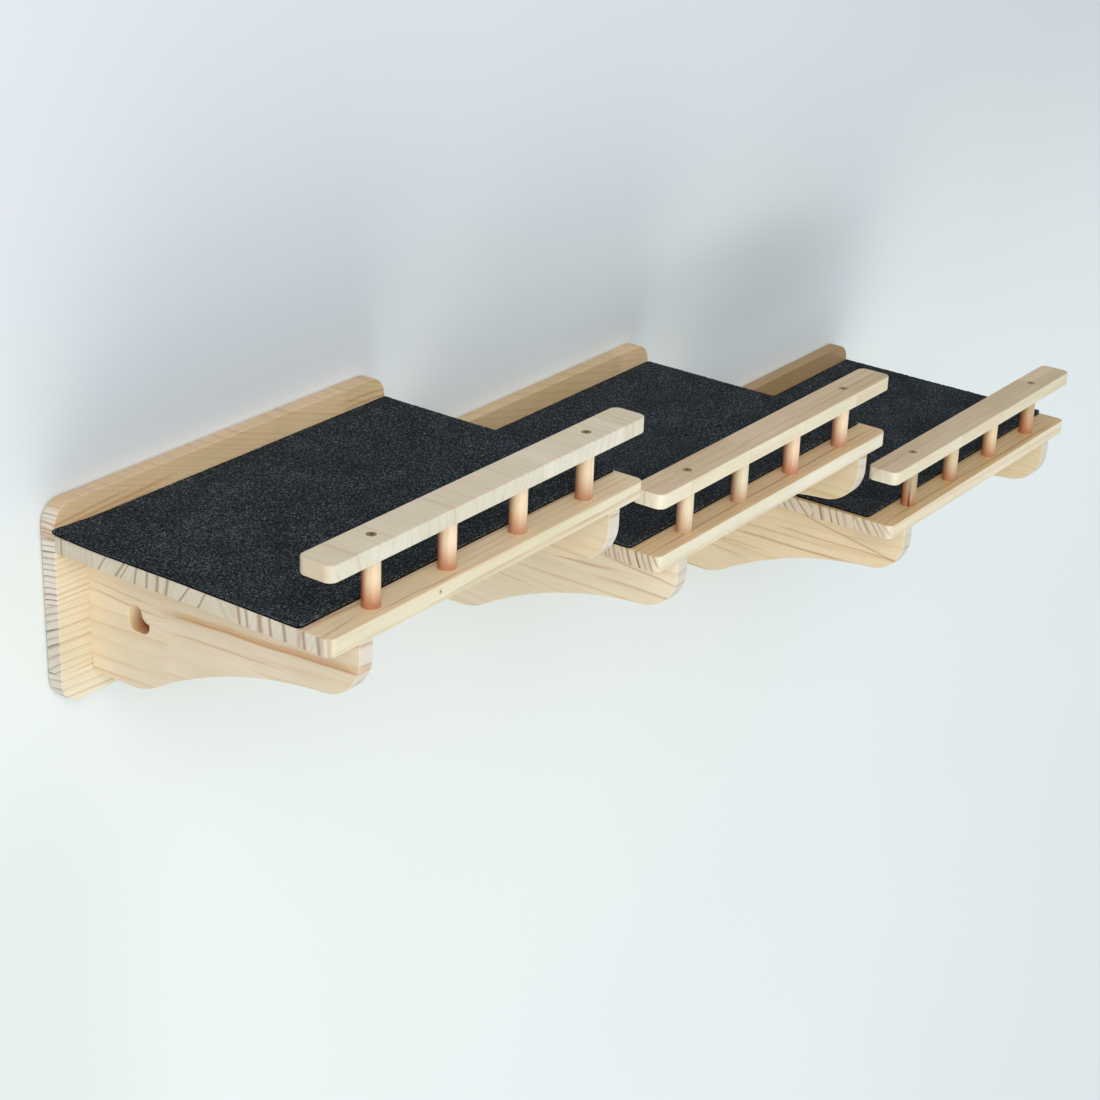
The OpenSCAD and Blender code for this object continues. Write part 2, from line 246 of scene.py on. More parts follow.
def pine(name, origin, axes, streaks=(), knots=(), end_marks=(), top_strip=None, cut_out=None,
         **changes):
    """Planed pine under clear satin lacquer.

    The earlywood is pale and the latewood a thin brown line. End grain soaks up more lacquer, so
    it is greyer with redder lines. axes names the frame's axes along the grain, across the board
    and through its thickness. A streak is a brown line of resin-stained wood and a knot is a
    branch cut through; both are placed in millimetres from the board's middle. The top strip is
    glued on from another plank: where it starts, its ring spacing, its lines' slant, its rings'
    lean, its lines' strength and its earlywood, which also carries painted light and shade. The
    cut-out is a milled hole whose walls get painted light and shade, pale above and dark brown
    below: its middle and its radius. An end mark is one strong ring across the end grain: its
    place, its slope and its width.
    """
    look = {key: changes.pop(key, value) for key, value in PINE_LOOK.items()}
    sizes = {**FIGURE_SIZES, **changes}
    material, tree = new_material(name)
    place = add(tree, "TexCoord")["Object"]
    local = add(tree, "VectorMath", [place, origin], operation="SUBTRACT")[0]
    local = add(tree, "VectorMath", {0: local, "Scale": 1 / MM}, operation="SCALE")[0]
    split = add(tree, "SeparateXYZ", [local])
    along, across, deep = (split["XYZ".index(axis)] for axis in axes)
    board_place = add(tree, "CombineXYZ", [along, across, deep])[0]
    if top_strip:
        start, ring, slant, lean, strip_line, strip_early_and_light = top_strip
        in_strip = add(tree, "Math", [across, start], operation="GREATER_THAN")[0]
        sizes["Ring"] = add(tree, "Mix", {0: in_strip, 2: sizes["Ring"], 3: ring})[0]
        sizes["Slant"] = add(tree, "Mix", {0: in_strip, 2: sizes["Slant"], 3: slant})[0]
        sizes["Lean"] = add(tree, "Mix", {0: in_strip, 2: sizes["Lean"], 3: lean})[0]
    figure = add(tree, "Group", {"Place": board_place, **sizes}, node_tree=RING_FIGURE)

    normal = add(tree, "NewGeometry")["Normal"]
    facing = add(tree, "SeparateXYZ", [add(tree, "VectorMath", [normal], operation="ABSOLUTE")[0]])
    end = add(tree, "MapRange", [facing["XYZ".index(axes[0])], 0.45, 0.85, 0.0, 1.0],
              interpolation_type="SMOOTHSTEP")[0]
    broad = add(tree, "MapRange", [facing["XYZ".index(axes[2])], 0.5, 0.9, 0.0, 1.0],
                interpolation_type="SMOOTHSTEP")[0]

    early, strength = srgb(look["early"]), look["line"]
    if top_strip:
        # The top strip's earlywood also carries painted light and shade for the strip above the deck
        early = add(tree, "Mix", {0: in_strip, 6: early, 7: srgb(strip_early_and_light)}, data_type="RGBA")[2]
        strength = add(tree, "Mix", {0: in_strip, 2: strength, 3: strip_line})[0]
    line = add(tree, "Math", [figure["Latewood"], strength], operation="MULTIPLY")[0]
    face = add(tree, "Mix", {0: line, 6: early, 7: srgb(look["late"])}, data_type="RGBA")[2]
    # Painted light and shade: broad faces and long edges each get a tint of their own
    tint = add(tree, "Mix", {0: broad, 6: srgb(look["narrow"]), 7: srgb(look["broad"])},
               data_type="RGBA")[2]
    face = add(tree, "VectorMath", [face, tint], operation="MULTIPLY")[0]
    end_line = add(tree, "Math", [figure["Latewood"], look["end_line"]], operation="MULTIPLY")[0]
    cut = add(tree, "Mix", {0: end_line, 6: srgb(look["end_early"]), 7: srgb(look["end_late"])},
              data_type="RGBA")[2]
    colour = add(tree, "Mix", {0: end, 6: face, 7: cut}, data_type="RGBA")[2]
    glue = add(tree, "Math", [figure["Glue"], GLUE_STRENGTH], operation="MULTIPLY")[0]
    colour = add(tree, "Mix", {0: glue, 6: colour, 7: srgb(GLUE_LINE)}, data_type="RGBA")[2]
    # Painted shade and warm bounce light at a dowel's foot, where it stands on the deck
    if look["foot"]:
        foot_shade = add(tree, "MapRange", [along, FOOT_TOP, FOOT_LOW, 0.0, look["foot"]],
                     interpolation_type="SMOOTHSTEP")[0]
        colour = add(tree, "Mix", {0: foot_shade, 6: colour, 7: srgb(FOOT_SHADE)}, data_type="RGBA")[2]

    for spot, slope, width in end_marks:
        line_at = add(tree, "Math", [deep, slope, spot], operation="MULTIPLY_ADD")[0]
        off = add(tree, "Math", [across, line_at], operation="SUBTRACT")[0]
        wander = add(tree, "TexNoise", {"Vector": board_place, "Scale": 1 / 9, "Detail": 1.0})[0]
        off = add(tree, "Math", [wander, END_RING_WANDER, off], operation="MULTIPLY_ADD")[0]
        off = add(tree, "Math", [off, END_RING_WANDER / 2], operation="SUBTRACT")[0]
        off = add(tree, "Math", [off], operation="ABSOLUTE")[0]
        thin = add(tree, "MapRange", [off, width, width * 0.1, 0.0, END_RING_STRENGTH])[0]
        amount = add(tree, "Math", [thin, end], operation="MULTIPLY")[0]
        colour = add(tree, "Mix", {0: amount, 6: colour, 7: srgb(END_RING)}, data_type="RGBA")[2]
    # Painted light and shade on a cut-out's walls: pale where lit above, dark brown where shaded below
    if cut_out:
        middle, radius = cut_out
        off = add(tree, "VectorMath", [board_place, middle], operation="SUBTRACT")[0]
        off = add(tree, "VectorMath", [off, (1.0, 1.0, 0.0)], operation="MULTIPLY")[0]
        far = add(tree, "VectorMath", [off], operation="LENGTH")["Value"]
        near = add(tree, "MapRange", [far, radius, radius * 0.9, 0.0, 1.0])[0]
        near = add(tree, "Math", [near, add(tree, "Math", [1.0, broad], operation="SUBTRACT")[0]],
                   operation="MULTIPLY")[0]
        high = add(tree, "VectorMath", [off, (0.5, 0.5, 0.0)], operation="DOT_PRODUCT")["Value"]
        high = add(tree, "Math", [high, deep], operation="SUBTRACT")[0]
        brown = add(tree, "MapRange", [high, CUT_DEPTH, -CUT_DEPTH, 0.0, 1.0])[0]
        wall = add(tree, "Mix", {0: brown, 6: srgb(CUT_LIT), 7: srgb(CUT_SHADED)}, data_type="RGBA")[2]
        colour = add(tree, "Mix", {0: near, 6: colour, 7: wall}, data_type="RGBA")[2]

    # Painted shade and warm bounce light on the side of a dowel that faces the wall
    if look["back"]:
        rearward = add(tree, "SeparateXYZ", [normal])["Y"]
        back = add(tree, "MapRange", [rearward, -0.4, 0.6, 0.0, look["back"]],
                   interpolation_type="SMOOTHSTEP")[0]
        colour = add(tree, "Mix", {0: back, 6: colour, 7: srgb(BACK_SHADE)}, data_type="RGBA")[2]

    # Streaks: start and end along the grain, place across, slope, width, strength and colour
    for start, stop, height, slope, width, strength, shade in streaks:
        line_at = add(tree, "Math", [along, slope, height], operation="MULTIPLY_ADD")[0]
        off = add(tree, "Math", [across, line_at], operation="SUBTRACT")[0]
        wander = add(tree, "TexNoise", {"Vector": board_place, "Scale": 1 / 60, "Detail": 1.0})[0]
        off = add(tree, "Math", [wander, STREAK_WANDER, off], operation="MULTIPLY_ADD")[0]
        off = add(tree, "Math", [off, STREAK_WANDER / 2], operation="SUBTRACT")[0]
        off = add(tree, "Math", [off], operation="ABSOLUTE")[0]
        thin = add(tree, "MapRange", [off, width, 0.0, 0.0, strength], interpolation_type="SMOOTHSTEP")[0]
        first = add(tree, "MapRange", [along, start, start + STREAK_FADE, 0.0, 1.0])[0]
        last = add(tree, "MapRange", [along, stop, stop - STREAK_FADE, 0.0, 1.0])[0]
        ends = add(tree, "Math", [first, last], operation="MULTIPLY")[0]
        amount = add(tree, "Math", [thin, ends], operation="MULTIPLY")[0]
        colour = add(tree, "Mix", {0: amount, 6: colour, 7: srgb(shade)}, data_type="RGBA")[2]
    for middle, radius in knots:
        off = add(tree, "VectorMath", [board_place, middle], operation="SUBTRACT")[0]
        off = add(tree, "VectorMath", [off], operation="LENGTH")["Value"]
        heart = add(tree, "MapRange", [off, radius, radius * 0.5, 0.0, 0.9],
                    interpolation_type="SMOOTHSTEP")[0]
        halo = add(tree, "MapRange", [off, radius * 3, radius, 0.0, 0.35],
                   interpolation_type="SMOOTHSTEP")[0]
        colour = add(tree, "Mix", {0: halo, 6: colour, 7: srgb(KNOT_HALO)}, data_type="RGBA")[2]
        colour = add(tree, "Mix", {0: heart, 6: colour, 7: srgb(KNOT_HEART)}, data_type="RGBA")[2]

    fibre_level = add(tree, "MapRange", [figure["Fibre"], 0.25, 0.75, 0.95, 1.05])[0]
    patch_level = add(tree, "MapRange", [figure["Patch"], 0.3, 0.7, 0.95, 1.05])[0]
    tint_level = add(tree, "MapRange", [figure["Tint"], 0.0, 1.0, 1 - look["tint"], 1 + look["tint"] / 2])[0]
    level = add(tree, "Math", [fibre_level, patch_level], operation="MULTIPLY")[0]
    level = add(tree, "Math", [level, tint_level], operation="MULTIPLY")[0]
    level = add(tree, "CombineXYZ", [level, level, add(tree, "Math", [level, 1.6], operation="POWER")[0]])[0]
    colour = add(tree, "VectorMath", [colour, level], operation="MULTIPLY")[0]

    height = add(tree, "Math", [figure["Latewood"], 0.5, figure["Fibre"]], operation="MULTIPLY_ADD")[0]
    bump = add(tree, "Bump", {"Height": height, "Strength": 0.25, "Distance": 0.05 * MM})[0]
    gloss = add(tree, "MapRange", [figure["Latewood"], 0.0, 1.0, look["roughness"],
                                   look["roughness"] * 0.8])[0]
    wood = add(tree, "BsdfPrincipled", {"Base Color": colour, "Roughness": gloss, "Normal": bump,
                                        "Specular IOR Level": 0.4, "Coat Weight": look["coat"],
                                        "Coat Roughness": 0.18})
    add(tree, "OutputMaterial", [wood[0]])
    return material


# Carpet, latex backing and metals

# The matted fibres are about 0.05 mm thick; they are drawn as tufts of many, coarse enough to show
FIBRE_LENGTH = 2.5
FIBRE_TUFT = 0.75
FIBRE_TURNS = (15.0, 75.0, 135.0)
TUFT_SIZE = 1.6
WEAR_SIZE = 35.0
# Greys from the gaps between the fibres to the palest fibre ends, each with its level
CARPET_SHADES = (("050607", 0.0), ("171B1E", 0.3), ("2B3135", 0.56), ("475055", 0.8), ("70797F", 1.0))


def needle_punch_carpet(name, seed):
    """Charcoal needle-punch carpet: matted polyester fibres, near black with paler grey flecks.

    The fibres lie at all angles in a thin felt, so light and dark show as short crossed strokes.
    A cut side shows more pale fibre ends than the top does.
    """
    material, tree = new_material(name)
    place = add(tree, "TexCoord")["Object"]
    strokes = None
    for turn in FIBRE_TURNS:
        turned = add(tree, "Mapping", {"Vector": place, "Rotation": (0.0, 0.0, math.radians(turn)),
                                       "Location": (seed, turn, 0.0),
                                       "Scale": (1 / (FIBRE_LENGTH * MM), 1 / (FIBRE_TUFT * MM),
                                                 1 / (FIBRE_TUFT * MM))})[0]
        stroke = add(tree, "TexNoise", {"Vector": turned, "Scale": 1.0, "Detail": 1.0})[0]
        strokes = stroke if strokes is None else add(tree, "Math", [strokes, stroke],
                                                     operation="MAXIMUM")[0]
    tufts = add(tree, "TexNoise", {"Vector": place, "Scale": 1 / (TUFT_SIZE * MM), "Detail": 1.0})[0]
    wear = add(tree, "TexNoise", {"Vector": place, "Scale": 1 / (WEAR_SIZE * MM), "Detail": 2.0})[0]
    value = add(tree, "Math", [tufts, 0.55, strokes], operation="MULTIPLY_ADD")[0]
    value = add(tree, "Math", [wear, 0.12, value], operation="MULTIPLY_ADD")[0]
    value = add(tree, "MapRange", [value, 0.79, 1.09, 0.0, 1.0])[0]
    upright = add(tree, "SeparateXYZ", [add(tree, "NewGeometry")["Normal"]])["Z"]
    cut_side = add(tree, "MapRange", [upright, 0.8, 0.4, 0.0, 0.2])[0]
    value = add(tree, "Math", [value, cut_side], operation="ADD")[0]
    colour = srgb(CARPET_SHADES[0][0])
    for (_, low), (above, high) in zip(CARPET_SHADES, CARPET_SHADES[1:]):
        amount = add(tree, "MapRange", [value, low, high, 0.0, 1.0])[0]
        colour = add(tree, "Mix", {0: amount, 6: colour, 7: srgb(above)}, data_type="RGBA")[2]
    bump = add(tree, "Bump", {"Height": value, "Strength": 0.8, "Distance": 0.6 * MM})[0]
    felt = add(tree, "BsdfPrincipled", {"Base Color": colour, "Roughness": 0.95, "Normal": bump,
                                        "Sheen Weight": 0.03, "Sheen Roughness": 0.6,
                                        "Specular IOR Level": 0.1})
    add(tree, "OutputMaterial", [felt[0]])
    return material


def mottled(name, colour, roughness, size, mottle=0.1, metallic=0.0, rims=None):
    """An even finish with faint patches of the given size in millimetres, as plating and latex have.

    rims gives the middle between two like screws, half their distance, their heads' radius and the
    colour of the painted shade round the edge of each head, where the gap to the wood is dark.
    """
    material, tree = new_material(name)
    place = add(tree, "TexCoord")["Object"]
    patches = add(tree, "TexNoise", {"Vector": place, "Scale": 1 / (size * MM), "Detail": 3.0})[0]
    level = add(tree, "MapRange", [patches, 0.3, 0.7, 1 - mottle, 1 + mottle])[0]
    shade = add(tree, "VectorMath", {0: srgb(colour)[:3], "Scale": level}, operation="SCALE")[0]
    # Painted shade round the rim of each screw head
    if rims:
        middle, half_pitch, radius, gap_shade = rims
        x, y, _ = add(tree, "SeparateXYZ", [add(tree, "VectorMath", [place, middle],
                                                operation="SUBTRACT")[0]])
        x = add(tree, "Math", [add(tree, "Math", [x], operation="ABSOLUTE")[0], half_pitch],
                operation="SUBTRACT")[0]
        off = add(tree, "VectorMath", [add(tree, "CombineXYZ", [x, y, 0.0])[0]], operation="LENGTH")["Value"]
        rim_shade = add(tree, "MapRange", [off, radius * 0.72, radius * 0.95, 0.0, 0.85])[0]
        shade = add(tree, "Mix", {0: rim_shade, 6: shade, 7: srgb(gap_shade)}, data_type="RGBA")[2]
    gloss = add(tree, "MapRange", [patches, 0.3, 0.7, roughness * 0.8, roughness * 1.2])[0]
    bump = add(tree, "Bump", {"Height": patches, "Strength": 0.2, "Distance": 0.05 * MM})[0]
    finish = add(tree, "BsdfPrincipled", {"Base Color": shade, "Roughness": gloss, "Normal": bump,
                                          "Metallic": metallic,
                                          "Specular IOR Level": 0.5 if metallic else 0.1})
    add(tree, "OutputMaterial", [finish[0]])
    return material


# Eased edges on the boards

EASED = 1.0 * MM
WELD = 0.001 * MM
RIM_SPAN = 26 * MM


def corner_key(point):
    """A point's place to a hundredth of a millimetre."""
    return tuple(round(c / MM, 2) for c in point)


def outline_edges(mesh):
    """A board's sharp edges as pairs of end points: its outlines and cut-outs, then its drilled rims."""
    work = bmesh.new()
    work.from_mesh(mesh)
    bmesh.ops.remove_doubles(work, verts=work.verts, dist=WELD)
    sharp = {e for e in work.edges if len(e.link_faces) == 2 and e.calc_face_angle() > math.radians(30)}
    outlines, drilled = set(), set()
    while sharp:
        rim, waiting = [], [sharp.pop()]
        while waiting:
            edge = waiting.pop()
            rim.append(edge)
            for other in (other for vert in edge.verts for other in vert.link_edges):
                if other in sharp:
                    sharp.remove(other)
                    waiting.append(other)
        points = [vert.co for edge in rim for vert in edge.verts]
        span = Vector(map(max, zip(*points))) - Vector(map(min, zip(*points)))
        kind = outlines if span.length >= RIM_SPAN else drilled
        kind.update(frozenset(corner_key(vert.co) for vert in edge.verts) for edge in rim)
    work.free()
    return outlines, drilled


def ease_edges(node, width, butted=False):
    """Rounds a board's outlines and cut-outs as sanding does, and leaves its drilled rims sharp.

    A butted board keeps its rear end square, so that it fits tightly against the back plate.
    """
    mesh = node.data
    outlines, drilled = outline_edges(mesh)
    rear = round(max(vert.co.y for vert in mesh.vertices) / MM, 2)
    if butted:
        square = {edge for edge in outlines if all(key[1] == rear for key in edge)}
        outlines, drilled = outlines - square, drilled | square
    keys = [corner_key(vert.co) for vert in mesh.vertices]
    if "custom_normal" in mesh.attributes:
        mesh.attributes.remove(mesh.attributes["custom_normal"])
    mesh.shade_smooth()
    weights = mesh.attributes.new("bevel_weight_edge", "FLOAT", "EDGE")
    for edge in mesh.edges:
        weights.data[edge.index].value = float(frozenset(keys[i] for i in edge.vertices) in outlines)
    creases = mesh.attributes.get("sharp_edge") or mesh.attributes.new("sharp_edge", "BOOLEAN", "EDGE")
    for edge in mesh.edges:
        creases.data[edge.index].value = frozenset(keys[i] for i in edge.vertices) in drilled
    weld = node.modifiers.new("weld", "WELD")
    weld.merge_threshold = WELD
    flats = node.modifiers.new("flats", "DECIMATE")
    flats.decimate_type = "DISSOLVE"
    flats.angle_limit = math.radians(0.3)
    ease = node.modifiers.new("ease", "BEVEL")
    ease.width = width
    ease.segments = 3
    ease.limit_method = "WEIGHT"
    ease.loop_slide = False
    ease.use_clamp_overlap = False
    normals = node.modifiers.new("normals", "WEIGHTED_NORMAL")
    normals.keep_sharp = True


# Carpet mats

CARPET_PITCH = 1.2 * MM
RIB_PITCH = 3.1 * MM
CARPET_CORNER = 5 * MM
CORNER_LAP = 3.0 * MM
CORNER_LIFT = 3.0 * MM
BACKING = 1.7 * MM


def rounded_front(x, y, low, high):
    """Moves a point of a mat's grid so that the mat's front corners, at low y, are round."""
    centre_y = low.y + CARPET_CORNER
    for centre_x, side in ((low.x + CARPET_CORNER, -1), (high.x - CARPET_CORNER, 1)):
        out, forward = (x - centre_x) * side, centre_y - y
        if out > 0 and forward > 0:
            pull = max(out, forward) / math.hypot(out, forward)
            return centre_x + side * out * pull, centre_y - forward * pull
    return x, y


def carpet_mat(name, low, high, seed):
    """A cut mat of ribbed needle-punch carpet on a dark backing, soft along its top edges.

    It is cut a little out of square, so its back left corner laps over the deck's end and lifts.
    """
    columns = round((high.x - low.x) / CARPET_PITCH)
    rows = round((high.y - low.y) / CARPET_PITCH)

    def uneven(x, y, size, salt):
        return noise.noise(Vector((x / (size * MM), y / (size * MM), seed + salt))) * MM

    def rib(x):
        return math.cos(math.tau * x / RIB_PITCH) * MM

    # The back left corner lifts over a sixth of the width and a quarter of the depth
    def lift(i, j):
        return CORNER_LIFT * max(0.0, 1 - 6 * i / columns) ** 2 * max(0.0, 4 * j / rows - 3) ** 2

    def outline(i, j, inset):
        x = low.x + (high.x - low.x) * i / columns
        y = low.y + (high.y - low.y) * j / rows
        x, y = rounded_front(x, y, low, high)
        lap = CORNER_LAP * max(0.0, 2 * j / rows - 1) * max(0.0, 1 - 5 * i / columns)
        x -= lap
        ragged = 0.3 * uneven(x, y, 2.0, 0.0)
        if j == rows:
            y += ragged + 0.5 * rib(x) - 0.6 * MM - inset
        elif j == 0:
            y += 0.5 * ragged + inset
        if i == 0:
            x += inset + 0.5 * ragged
        elif i == columns:
            x -= inset + 0.5 * ragged
        return x, y

    verts, faces, slots = [], [], []
    for j in range(rows + 1):
        for i in range(columns + 1):
            x, y = outline(i, j, 0.0)
            edge = max(0.0, min(x - low.x, high.x - x, y - low.y, high.y - y))
            pile = 0.55 * uneven(x, y, 1.5, 5.0) + 0.25 * uneven(x, y, 60.0, 9.0) + 0.12 * rib(x)
            soft = 0.8 * MM * max(0.0, 1 - edge / (1.5 * MM)) ** 2
            verts.append((x, y, high.z - 0.4 * MM + pile - soft + lift(i, j)))
    row = columns + 1
    for j in range(rows):
        for i in range(columns):
            corner = j * row + i
            faces.append((corner, corner + 1, corner + row + 1, corner + row))
            slots.append(0)
    loop = [(i, 0) for i in range(columns)] + [(columns, j) for j in range(rows)]
    loop += [(i, rows) for i in range(columns, 0, -1)] + [(0, j) for j in range(rows, 0, -1)]
    rim = [j * row + i for i, j in loop]
    # Down the side: each ring's inset and height, and whether it is carpet (0) or backing (1)
    for inset, height, slot in ((-0.15, 2.2, 0), (0.0, BACKING / MM, 0), (0.35, 0.0, 1)):
        ring = range(len(verts), len(verts) + len(loop))
        verts += [(*outline(i, j, inset * MM), low.z + height * MM + lift(i, j)) for i, j in loop]
        for k in range(len(loop)):
            after = (k + 1) % len(loop)
            faces.append((rim[k], ring[k], ring[after], rim[after]))
            slots.append(slot)
        rim = ring
    faces.append(tuple(reversed(rim)))
    slots.append(1)
    mesh = bpy.data.meshes.new(name)
    mesh.from_pydata(verts, [], faces)
    mesh.polygons.foreach_set("material_index", slots)
    mesh.shade_smooth()
    mat = bpy.data.objects.new(name, mesh)
    bpy.context.scene.collection.objects.link(mat)
    return mat


# The wood of each board

def dress(node, material):
    """Gives a CAD piece one material in place of its own."""
    NODES[node].data.materials.clear()
    NODES[node].data.materials.append(material)


def board(node, axes, eased=EASED, butted=False, **wood):
    """Gives a board its own pine and eased edges."""
    low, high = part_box(node)
    dress(node, pine(node + "_pine", (low + high) / 2, axes, **wood))
    if eased:
        ease_edges(NODES[node], eased, butted)


SEEDS = {"upper": 1.0, "middle": 2.0, "lower": 3.0}

# Planks of the same kind
PLATE_WOOD = {
    "Ring": 6.5, "Strip": 60.0, "Joint At": 152.0, "Slant": -0.05, "Lean": 0.35, "Uneven": 0.6, "Fade": 0.25,
    "early": "EBDEC2", "late": "BC8745", "line": 0.62, "tint": 0.16,
    "end_early": "FCF0DA", "end_late": "7C4A30", "end_line": 0.9, "eased": 0.5 * MM,
}
DECK_WOOD = {
    "Ring": 6.5, "Spread": 0.6, "Strip": 50.0, "Fade": 0.7,
    "late": "BE8A58", "line": 0.5, "end_early": "F0E2C9", "end_late": "8A5030", "end_line": 0.95,
}
RAIL_WOOD = {
    "Ring": 10.0, "Spread": 0.5,
    "early": "EBDFC2", "late": "CFA276", "line": 0.45,
    "end_early": "F1E8D4", "end_late": "B09070", "end_line": 0.35,
}
BRACKET_WOOD = {
    "Ring": 12.0, "Strip": 70.0, "Drift": 0.1, "Fade": 0.6,
    "late": "D6A055", "line": 0.45, "end_early": "DAD1BE", "end_late": "B98D66",
}
BALUSTER_WOOD = {
    "Ring": 4.0, "Strip": 60.0,
    "late": "D4966A", "line": 0.4, "end_early": "E0B58C", "end_late": "C08458",
    "roughness": 0.35, "coat": 0.6, "foot": 0.7, "back": 0.6,
}

# What sets one shelf's planks apart from the others. Their broad and narrow tints and the top
# strips' earlywood also carry painted light and shade, and so does the middle bracket's paler
# earlywood, which offsets the shade of the shelf above it.
RESIN, HEARTWOOD, OCHRE = "B98A55", "A0663C", "C68B4A"
SHELF_WOOD = {
    "upper_back_plate": {"top_strip": (60.0, 4.6, -0.3, -0.3, 0.28, "F7D6A6"), "narrow": "F8F6FF",
                         "streaks": [(-230, -30, 66.5, 0.03, 3.4, 0.5, "D08C4C"),
                                     (-230, -80, 71.5, 0.04, 2.4, 0.45, "C67C40"),
                                     (-230, -60, 77.0, 0.05, 3.2, 0.5, "D08A48"),
                                     (-230, -110, 82.5, 0.05, 2.4, 0.45, "CC8848"),
                                     (140, 230, 66.5, -0.03, 1.8, 0.45, "C67C40"),
                                     (135, 230, 72.5, -0.02, 1.6, 0.5, "C67C40"),
                                     (130, 230, 80.0, -0.03, 1.8, 0.45, "C67C40")]},
    "middle_back_plate": {"top_strip": (60.0, 6.0, -0.2, 0.0, 0.4, "E8C798"), "narrow": "FFFFFF"},
    "lower_back_plate": {"top_strip": (60.0, 5.0, -0.2, 0.0, 0.4, "BD996C")},
    "upper_deck": {"early": "F0DABB", "narrow": "F5FFFF", "broad": "FFFDF2", "end_line": 0.2,
                   "knots": [((-73.6, -142.5, 2.0), 1.3)],
                   "streaks": [(-230, -110, -126.0, -0.066, 3.6, 0.4, "B07A4C"),
                               (-230, -140, -108.0, 0.13, 3.0, 0.3, "B07A4C"),
                               (-150, -30, -140.0, -0.03, 1.6, 0.45, HEARTWOOD),
                               (-60, 190, -121.0, 0.01, 2.4, 0.12, HEARTWOOD)],
                   "end_marks": [(135, 0.0, 1.5), (90, -0.7, 1.2), (71, -0.7, 2.2), (66, -0.7, 1.2),
                                 (54, -0.2, 1.6), (42, -0.1, 1.8), (31, -0.1, 2.6), (21, -0.2, 2.4),
                                 (3, -0.7, 1.8), (-15, -0.6, 1.4), (-53, 0.1, 2.6), (-61, 0.1, 2.2),
                                 (-74, 0.1, 4.0), (-84, 0.1, 2.2), (-98, 0.1, 2.8), (-117, 0.1, 2.6),
                                 (-131, 0.1, 2.6), (-141, 0.0, 4.0)]},
    "middle_deck": {"early": "F5EBD4", "broad": "FDE4C7", "Lean": -0.3, "Spread": 0.25, "line": 0.36,
                    "end_late": "96531F", "end_line": 1.0, "Uneven": 0.5, "Fade": 0.3,
                    "streaks": [(-190, 190, -129, 0.01, 2.5, 0.4, HEARTWOOD)]},
    "lower_deck": {"early": "EEDEBF", "broad": "F9E8C9", "Ring": 8.0, "Lean": -0.5, "Spread": 0.2,
                   "end_late": "96531F", "end_line": 1.0, "Uneven": 0.5, "Fade": 0.3,
                   "streaks": [(-190, 190, -134, -0.02, 2.5, 0.4, HEARTWOOD)]},
    "upper_hand_rail": {"early": "F0E1CC", "broad": "FDF9ED", "narrow": "F8F2E0",
                        "end_early": "DED7C1", "Drift": 0.06, "line": 0.35},
    "middle_hand_rail": {"broad": "F6E5D5", "end_early": "FAF0D6", "Joint": 95.0, "Joint At": -145.0,
                         "streaks": [(-190, 190, -5, 0.015, 2.2, 0.15, RESIN)]},
    "lower_hand_rail": {"broad": "F9E9DC", "end_early": "F7EDD6", "Joint": 95.0, "Joint At": -145.0},
    "upper_left_bracket": {"early": "F4E1BF", "Joint At": 64.0,
                           "cut_out": ((88.0, 5.0, 0.0), 18.0),
                           "streaks": [(-160, 65, 25.5, -0.063, 5.0, 0.55, "D69A50"),
                                       (-160, 65, 23.4, -0.063, 1.8, 0.55, "C07A34"),
                                       (50, 150, 13.5, 0.018, 1.8, 0.5, OCHRE),
                                       (-70, 62, 8.0, -0.06, 1.6, 0.35, OCHRE),
                                       (60, 150, 21.0, 0.02, 1.5, 0.4, OCHRE)]},
    "middle_left_bracket": {"early": "FFF2D5",
                            "streaks": [(-85, 65, 24.8, -0.065, 2.8, 0.5, "C08A48"),
                                        (-165, -50, 19.5, 0.0, 1.8, 0.38, "B88A58"),
                                        (-165, -40, 47.2, 0.096, 2.0, 0.45, "C08A48"),
                                        (0, 110, -14.0, 0.06, 1.5, 0.3, OCHRE)]},
    "lower_left_bracket": {"early": "FEEAC5",
                           "streaks": [(-160, 10, 45.6, 0.188, 2.0, 0.5, "C48A48"),
                                       (-160, 20, 19.5, -0.015, 1.8, 0.45, "C48A48"),
                                       (-90, 75, 1.5, -0.02, 2.2, 0.5, "BE8448"),
                                       (5, 100, -13.0, 0.0, 1.8, 0.4, "CC9A5C"),
                                       (35, 115, -33.7, 0.11, 1.8, 0.4, "CC9A5C"),
                                       (-80, 70, 12.0, -0.02, 1.4, 0.3, OCHRE)]},
    "upper_baluster_1": {"foot": 0.85, "back": 0.95},
    "upper_baluster_2": {"foot": 0.8, "back": 0.85},
    "middle_baluster_1": {"foot": 0.4},
    "middle_baluster_2": {"foot": 0.5},
    "lower_baluster_1": {"streaks": [(-60, 14, -5.6, 0.02, 1.1, 0.95, "4A2810")]},
}

# Each shelf's dowels from left to right, by their earlywood, which also carries painted light and
# shade: the lower shelf's first and last dowels are darkest
DOWELS = {
    "upper": ("F7DAB5", "F9DFBC", "F4DAB4", "F8DFBC"),
    "middle": ("ECDDBA", "EDE0BD", "EFD1AC", "FAE1BC"),
    "lower": ("C0A67F", "DDCAA4", "EAD2A4", "C9A67C"),
}

